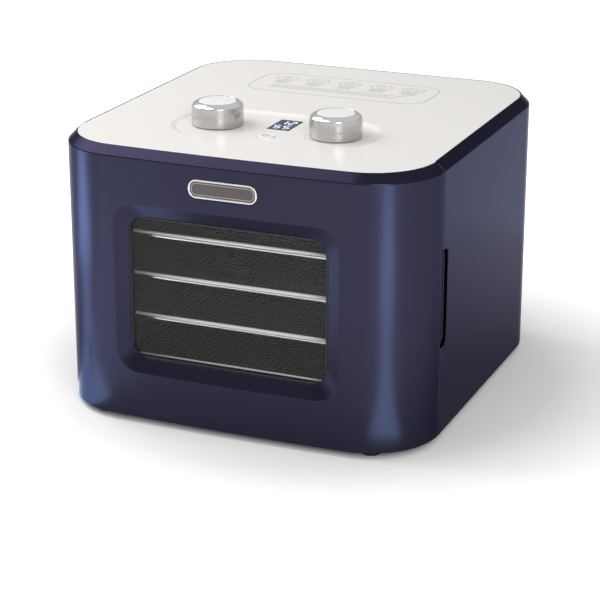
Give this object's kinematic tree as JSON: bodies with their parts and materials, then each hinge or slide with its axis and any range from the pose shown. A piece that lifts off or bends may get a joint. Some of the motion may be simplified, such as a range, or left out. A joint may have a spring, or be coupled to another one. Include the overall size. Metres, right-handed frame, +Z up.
{
  "type": "food dehydrator",
  "caption": "Cabinet food dehydrator with a wrap-round glazed door, wire trays, rear fan and heater, and turning knobs, display and button on top.",
  "frame": {"origin": "on the table, under the middle of the cabinet's plan", "axes": "+Z up, the door faces -Y, +X to the right of someone facing the door"},
  "size_m": [0.3, 0.315, 0.235],
  "materials": {
    "navy_shell": "metallic navy lacquer, satin gloss",
    "white_panel": "satin",
    "black_plastic": "fine matt",
    "grey_plastic": "matt",
    "black_rubber": "matt",
    "smoked_glass": "polished",
    "dark_glass": "polished",
    "chrome": "polished",
    "satin_metal": "satin",
    "knob_disc": "fine satin",
    "badge_grey": "brushed, lacquered",
    "steel": "plain",
    "tray_wire": "bright wire",
    "circuit_board": "solder mask",
    "brass": "plain",
    "mica": "matt"
  },
  "bodies": {
    "cabinet": {"back_cover": "black_plastic", "base_plate": "black_plastic", "catch_plate": "chrome", "chamber_floor": "grey_plastic", "chamber_top": "grey_plastic", "control_board": "circuit_board", "cover_screw_1": "steel", "cover_screw_2": "steel", "cover_screw_3": "steel", "cover_screw_4": "steel", "display_module": "black_plastic", "display_window": "dark_glass", "encoder_left": "grey_plastic", "encoder_right": "grey_plastic", "fan_guard": "tray_wire", "fan_motor": "satin_metal", "finger_cup": "black_plastic", "foot_front_left": "black_rubber", "foot_front_right": "black_rubber", "foot_rear_left": "black_rubber", "foot_rear_right": "black_rubber", "front_frame": "black_plastic", "heater_coil": "steel", "heater_frame": "mica", "hinge_pin_lower": "steel", "hinge_pin_upper": "steel", "housing_shell": "navy_shell", "inlet_pin_left": "brass", "inlet_pin_right": "brass", "left_wall": "grey_plastic", "mains_inlet": "black_plastic", "motor_bracket": "steel", "power_board": "circuit_board", "power_switch": "black_plastic", "rear_baffle": "steel", "right_wall": "grey_plastic", "temperature_probe": "steel", "thermal_cutout": "black_plastic", "top_panel": "white_panel"},
    "door": {"door_shell": "navy_shell", "door_glass": "smoked_glass", "glass_gasket": "black_rubber", "door_liner": "black_plastic", "badge_rim": "chrome", "badge_plate": "badge_grey", "door_magnet": "steel"},
    "tray_1": {"tray_1": "tray_wire"},
    "tray_2": {"tray_2": "tray_wire"},
    "tray_3": {"tray_3": "tray_wire"},
    "tray_4": {"tray_4": "tray_wire"},
    "crumb_tray": {"crumb_tray": "satin_metal"},
    "knob_left": {"knob_left": "satin_metal", "knob_cap_left": "knob_disc", "encoder_shaft_left": "steel"},
    "knob_right": {"knob_right": "satin_metal", "knob_cap_right": "knob_disc", "encoder_shaft_right": "steel"},
    "power_button": {"power_button": "white_panel"},
    "fan": {"fan_impeller": "black_plastic", "fan_shaft": "steel"}
  },
  "joints": [
    {"name": "door_hinge", "type": "hinge", "parent": "cabinet", "child": "door", "pos_m": [-0.1478, -0.1035, 0.109], "axis": [0, 0, -1], "range_deg": [0, 105]},
    {"name": "tray_1_slide", "type": "slide", "parent": "cabinet", "child": "tray_1", "axis": [0, -1, 0], "range_m": [0, 0.008]},
    {"name": "tray_2_slide", "type": "slide", "parent": "cabinet", "child": "tray_2", "axis": [0, -1, 0], "range_m": [0, 0.008]},
    {"name": "tray_3_slide", "type": "slide", "parent": "cabinet", "child": "tray_3", "axis": [0, -1, 0], "range_m": [0, 0.008]},
    {"name": "tray_4_slide", "type": "slide", "parent": "cabinet", "child": "tray_4", "axis": [0, -1, 0], "range_m": [0, 0.008]},
    {"name": "crumb_tray_slide", "type": "slide", "parent": "cabinet", "child": "crumb_tray", "axis": [0, -1, 0], "range_m": [0, 0.008]},
    {"name": "knob_left_turn", "type": "hinge", "parent": "cabinet", "child": "knob_left", "pos_m": [-0.049, -0.059, 0.226], "axis": [0, 0, -1], "continuous": true},
    {"name": "knob_right_turn", "type": "hinge", "parent": "cabinet", "child": "knob_right", "pos_m": [0.049, -0.059, 0.226], "axis": [0, 0, -1], "continuous": true},
    {"name": "power_button_press", "type": "slide", "parent": "cabinet", "child": "power_button", "axis": [0, 0, -1], "range_m": [0, 0.001], "stiffness_N_per_m": 400, "springref_m": -0.002},
    {"name": "fan_spin", "type": "hinge", "parent": "cabinet", "child": "fan", "pos_m": [0, 0.1, 0.105], "axis": [0, 1, 0], "continuous": true}
  ]
}
